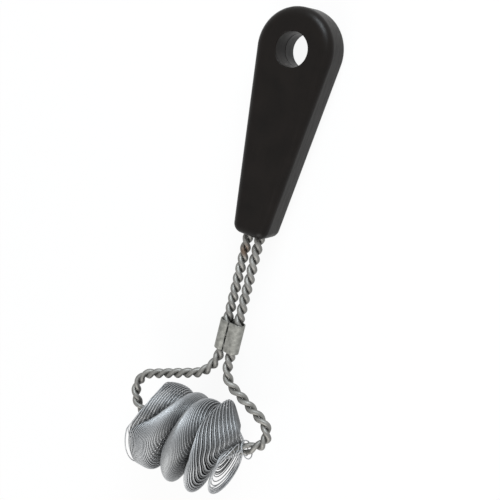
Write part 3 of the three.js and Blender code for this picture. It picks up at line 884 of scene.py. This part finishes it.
class GRILL_BRUSH_OT_ferrule(bpy.types.Operator):
    """Add the crimped sheet band round both legs"""

    bl_idname = "grill_brush.ferrule"
    bl_label = "Ferrule"

    def execute(self, context):
        brush = context.scene.grill_brush
        ferrule = brush.ferrule
        vertices, faces = ferrule_band(FrameLoop(brush), ferrule)
        piece = add_piece("ferrule_band", vertices, faces, brush_pose(brush), galvanised_sheet(ferrule))
        soften = piece.modifiers.new("soft_edges", "BEVEL")
        soften.width = ferrule.softness
        soften.segments = BEVEL_SEGMENTS
        soften.limit_method = "ANGLE"
        soften.angle_limit = SHARP_ANGLE
        dress(piece, "galvanised_sheet", "ferrule")
        return {"FINISHED"}


class GRILL_BRUSH_OT_scrub_coil(bpy.types.Operator):
    """Add the fine wire coil that stands out of the twisted stem in petals"""

    bl_idname = "grill_brush.scrub_coil"
    bl_label = "Scrub coil"

    def execute(self, context):
        brush = context.scene.grill_brush
        coil = brush.coil
        route, shade_levels = FrameLoop(brush).coil_route()
        vertices, faces = tube(route, coil.diameter / 2, COIL_SIDES)
        piece = add_piece("scrub_wire", vertices, faces, brush_pose(brush), bright_wire(coil))
        # Painted shade: the shade level of each place is stored on the wire's points for its material
        painted_shade = piece.data.attributes.new("painted_shade", "FLOAT", "POINT")
        painted_shade.data.foreach_set("value", np.repeat(shade_levels, COIL_SIDES).astype(np.float32))
        dress(piece, "bright_wire", "scrub_coil")
        return {"FINISHED"}


def seen_rays(tree):
    """One for rays from the camera, from gloss and through glass, and nothing for the light itself"""
    path = tree.nodes.new("ShaderNodeLightPath")
    seen = path.outputs["Is Camera Ray"]
    for ray in ("Is Glossy Ray", "Is Transmission Ray"):
        either = tree.nodes.new("ShaderNodeMath")
        either.operation = "MAXIMUM"
        tree.links.new(seen, either.inputs[0])
        tree.links.new(path.outputs[ray], either.inputs[1])
        seen = either.outputs["Value"]
    return seen


def pale_floor(stage):
    """Pale floor that shows as near white and keeps a soft shadow"""
    finish = Finish("pale_floor")
    tree = finish.tree
    diffuse = finish.add("ShaderNodeBsdfDiffuse", Color=(*stage.floor, 1))
    glow = finish.add("ShaderNodeEmission", Color=WHITE, Strength=1.0)
    white = finish.add("ShaderNodeMath")
    white.operation = "MULTIPLY"
    finish.feed(white.inputs[0], seen_rays(tree))
    white.inputs[1].default_value = stage.floor_white
    mix = finish.add("ShaderNodeMixShader")
    for socket, node in zip(mix.inputs, (white, diffuse, glow)):
        finish.feed(socket, node.outputs[0])
    finish.feed(tree.nodes["Material Output"].inputs["Surface"], mix.outputs[0])
    tree.nodes.remove(finish.surface)
    return finish.material


def white_world(strength):
    """Even light from all round, seen as plain white"""
    world = bpy.data.worlds.new("studio")
    world.use_nodes = True
    tree = world.node_tree
    background = tree.nodes["Background"]
    background.inputs["Color"].default_value = WHITE
    level = tree.nodes.new("ShaderNodeMapRange")
    level.inputs["To Min"].default_value = strength
    level.inputs["To Max"].default_value = 1.0
    tree.links.new(seen_rays(tree), level.inputs["Value"])
    tree.links.new(level.outputs["Result"], background.inputs["Strength"])
    return world


def add_lamp(name, place, size, power, tint):
    """A square lamp that faces the brush"""
    light = bpy.data.lights.new(name, "AREA")
    light.shape = "SQUARE"
    light.size = size
    light.energy = power
    light.color = tint
    lamp = bpy.data.objects.new(name, light)
    bpy.context.scene.collection.objects.link(lamp)
    lamp.location = place
    lamp.rotation_euler = (-Vector(place)).to_track_quat("-Z", "Y").to_euler()


class GRILL_BRUSH_OT_stage(bpy.types.Operator):
    """Add the floor, the lights and the camera"""

    bl_idname = "grill_brush.stage"
    bl_label = "Stage"

    def execute(self, context):
        scene = context.scene
        stage = scene.grill_brush.stage
        mesh = bpy.data.meshes.new("floor")
        half = stage.floor_reach
        corners = [(-half, -half, 0), (half, -half, 0), (half, half, 0), (-half, half, 0)]
        mesh.from_pydata(corners, [], [(0, 1, 2, 3)])
        mesh.materials.append(pale_floor(stage))
        floor = bpy.data.objects.new("floor", mesh)
        scene.collection.objects.link(floor)

        scene.world = white_world(stage.world)
        add_lamp("key_lamp", stage.key_place, stage.key_size, stage.key_power, stage.key_tint)
        add_lamp("fill_lamp", stage.fill_place, stage.fill_size, stage.fill_power, stage.fill_tint)

        camera_data = bpy.data.cameras.new("photo_camera")
        camera_data.lens = stage.lens
        camera_data.sensor_width = stage.film
        camera_data.clip_start = stage.near
        camera = bpy.data.objects.new("photo_camera", camera_data)
        right = Vector(stage.right).normalized()
        up = Vector(stage.up)
        up = (up - right * up.dot(right)).normalized()
        turned = Matrix((right, up, right.cross(up))).transposed().to_4x4()
        camera.matrix_world = Matrix.Translation(stage.eye) @ turned
        scene.collection.objects.link(camera)
        scene.camera = camera
        scene.view_settings.view_transform = "Standard"
        return {"FINISHED"}


class GRILL_BRUSH_PT_panel(bpy.types.Panel):
    """Lists the pieces of the brush"""

    bl_idname = "GRILL_BRUSH_PT_panel"
    bl_label = "Grill Brush"
    bl_space_type = "VIEW_3D"
    bl_region_type = "UI"
    bl_category = "Grill Brush"

    def draw(self, context):
        brush = context.scene.grill_brush
        groups = (
            (GRILL_BRUSH_OT_handle, brush.handle),
            (GRILL_BRUSH_OT_frame_wires, brush.wires),
            (GRILL_BRUSH_OT_ferrule, brush.ferrule),
            (GRILL_BRUSH_OT_scrub_coil, brush.coil),
            (GRILL_BRUSH_OT_stage, brush.stage),
        )
        for operator, settings in groups:
            box = self.layout.box()
            box.operator(operator.bl_idname)
            for name in settings.__annotations__:
                box.prop(settings, name)


CLASSES = (
    HandleSettings,
    WireSettings,
    FerruleSettings,
    CoilSettings,
    StageSettings,
    BrushSettings,
    GRILL_BRUSH_OT_handle,
    GRILL_BRUSH_OT_frame_wires,
    GRILL_BRUSH_OT_ferrule,
    GRILL_BRUSH_OT_scrub_coil,
    GRILL_BRUSH_OT_stage,
    GRILL_BRUSH_PT_panel,
)


def register():
    for cls in CLASSES:
        bpy.utils.register_class(cls)
    bpy.types.Scene.grill_brush = PointerProperty(type=BrushSettings)


def unregister():
    del bpy.types.Scene.grill_brush
    for cls in reversed(CLASSES):
        bpy.utils.unregister_class(cls)


def main():
    register()
    bpy.ops.grill_brush.handle()
    bpy.ops.grill_brush.frame_wires()
    bpy.ops.grill_brush.ferrule()
    bpy.ops.grill_brush.scrub_coil()
    bpy.ops.grill_brush.stage()


if __name__ == "__main__":
    main()
